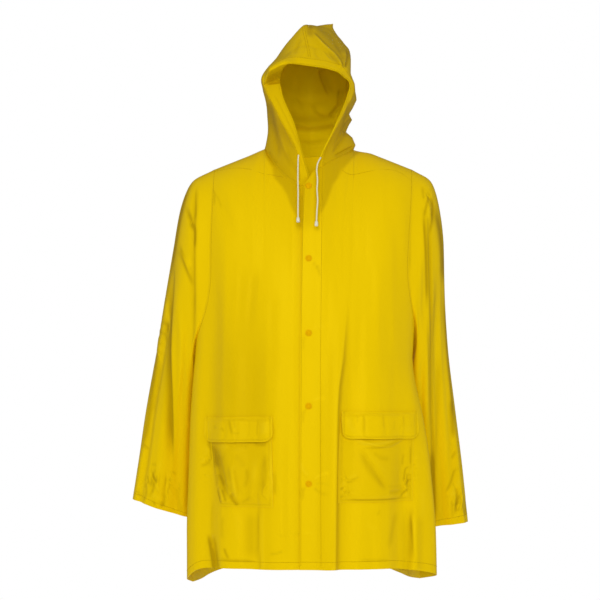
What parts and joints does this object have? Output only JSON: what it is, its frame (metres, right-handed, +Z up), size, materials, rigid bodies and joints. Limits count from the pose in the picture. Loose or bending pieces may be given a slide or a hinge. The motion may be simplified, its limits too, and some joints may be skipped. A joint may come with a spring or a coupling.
{
  "type": "hooded raincoat",
  "caption": "Thin yellow film raincoat with a drawstring hood, snap front and flap pockets, hollow and standing in its worn shape.",
  "frame": {"origin": "base of the neck, midway between the shoulders, where the wearer carries the coat", "axes": "+Z up, front faces -Y, +X to the wearer's left"},
  "size_m": [0.712, 0.3267, 1.1748],
  "materials": {
    "back_panel": "soft sheen film, slightly translucent",
    "front_panel_left": "soft sheen film, slightly translucent",
    "front_panel_right": "soft sheen film, slightly translucent",
    "sleeve_left": "soft sheen film, slightly translucent",
    "sleeve_right": "soft sheen film, slightly translucent",
    "hood_panel_left": "soft sheen film, slightly translucent",
    "hood_panel_right": "soft sheen film, slightly translucent",
    "hood_channel": "soft sheen film, slightly translucent",
    "pocket_bag_left": "soft sheen film, slightly translucent",
    "pocket_bag_right": "soft sheen film, slightly translucent",
    "pocket_flap_left": "soft sheen film, slightly translucent",
    "pocket_flap_right": "soft sheen film, slightly translucent",
    "snap_cap_1": "satin moulded plastic",
    "snap_cap_2": "satin moulded plastic",
    "snap_cap_3": "satin moulded plastic",
    "snap_cap_4": "satin moulded plastic",
    "snap_cap_5": "satin moulded plastic",
    "snap_back_1": "satin moulded plastic",
    "snap_back_2": "satin moulded plastic",
    "snap_back_3": "satin moulded plastic",
    "snap_back_4": "satin moulded plastic",
    "snap_back_5": "satin moulded plastic",
    "drawstring_left": "braided cord, matt",
    "drawstring_right": "braided cord, matt",
    "cord_end_left": "satin moulded plastic",
    "cord_end_right": "satin moulded plastic"
  },
  "bodies": {
    "root": {"back_panel": "back_panel", "front_panel_left": "front_panel_left", "front_panel_right": "front_panel_right", "sleeve_left": "sleeve_left", "sleeve_right": "sleeve_right", "hood_panel_left": "hood_panel_left", "hood_panel_right": "hood_panel_right", "hood_channel": "hood_channel", "pocket_bag_left": "pocket_bag_left", "pocket_bag_right": "pocket_bag_right", "pocket_flap_left": "pocket_flap_left", "pocket_flap_right": "pocket_flap_right", "snap_cap_1": "snap_cap_1", "snap_cap_2": "snap_cap_2", "snap_cap_3": "snap_cap_3", "snap_cap_4": "snap_cap_4", "snap_cap_5": "snap_cap_5", "snap_back_1": "snap_back_1", "snap_back_2": "snap_back_2", "snap_back_3": "snap_back_3", "snap_back_4": "snap_back_4", "snap_back_5": "snap_back_5", "drawstring_left": "drawstring_left", "drawstring_right": "drawstring_right", "cord_end_left": "cord_end_left", "cord_end_right": "cord_end_right"}
  },
  "joints": []
}
